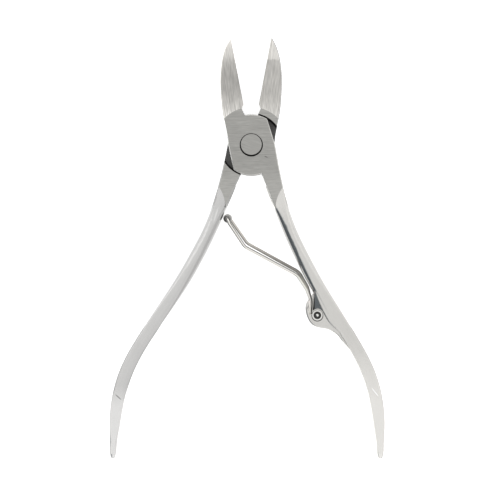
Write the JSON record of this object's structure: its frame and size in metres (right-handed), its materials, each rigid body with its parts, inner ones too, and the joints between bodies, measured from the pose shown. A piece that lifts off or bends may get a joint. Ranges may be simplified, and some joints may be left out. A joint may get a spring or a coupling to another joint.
{
  "type": "nail clipper",
  "caption": "Pliers-type nail nipper in stainless steel: two crossed halves on a flush rivet, pointed cutting jaws, bowed handles and a wire spring with a roller that opens them.",
  "frame": {"origin": "where the pivot's axis meets the flat back face, on which the tool lies", "axes": "+Y towards the jaw tips, +X to the right, +Z along the pivot's axis and out of the front face"},
  "size_m": [0.0812, 0.1241, 0.007],
  "materials": {
    "forged_steel": "fine brushing on the joint and jaws, polished handles",
    "rivet_steel": "fine brushing, flush with the joint",
    "spring_steel": "polished drawn wire",
    "pin_steel": "polished"
  },
  "bodies": {
    "rear_half": {"rear_half": "forged_steel", "pivot_rivet": "rivet_steel"},
    "front_half": {"front_half": "forged_steel", "spring_pin": "pin_steel", "spring_wire": "spring_steel"},
    "roller": {"spring_roller": "pin_steel"}
  },
  "joints": [
    {"name": "jaw_close", "type": "hinge", "parent": "rear_half", "child": "front_half", "pos_m": [0, 0, 0.0035], "axis": [0, 0, -1], "range_deg": [0, 21.25], "stiffness_Nm_per_rad": 0.8, "deforming": ["spring_wire"]},
    {"name": "roller_spin", "type": "hinge", "parent": "rear_half", "child": "roller", "pos_m": [-0.00695, -0.0216, 0.0035], "axis": [0, 0, 1], "continuous": true}
  ]
}
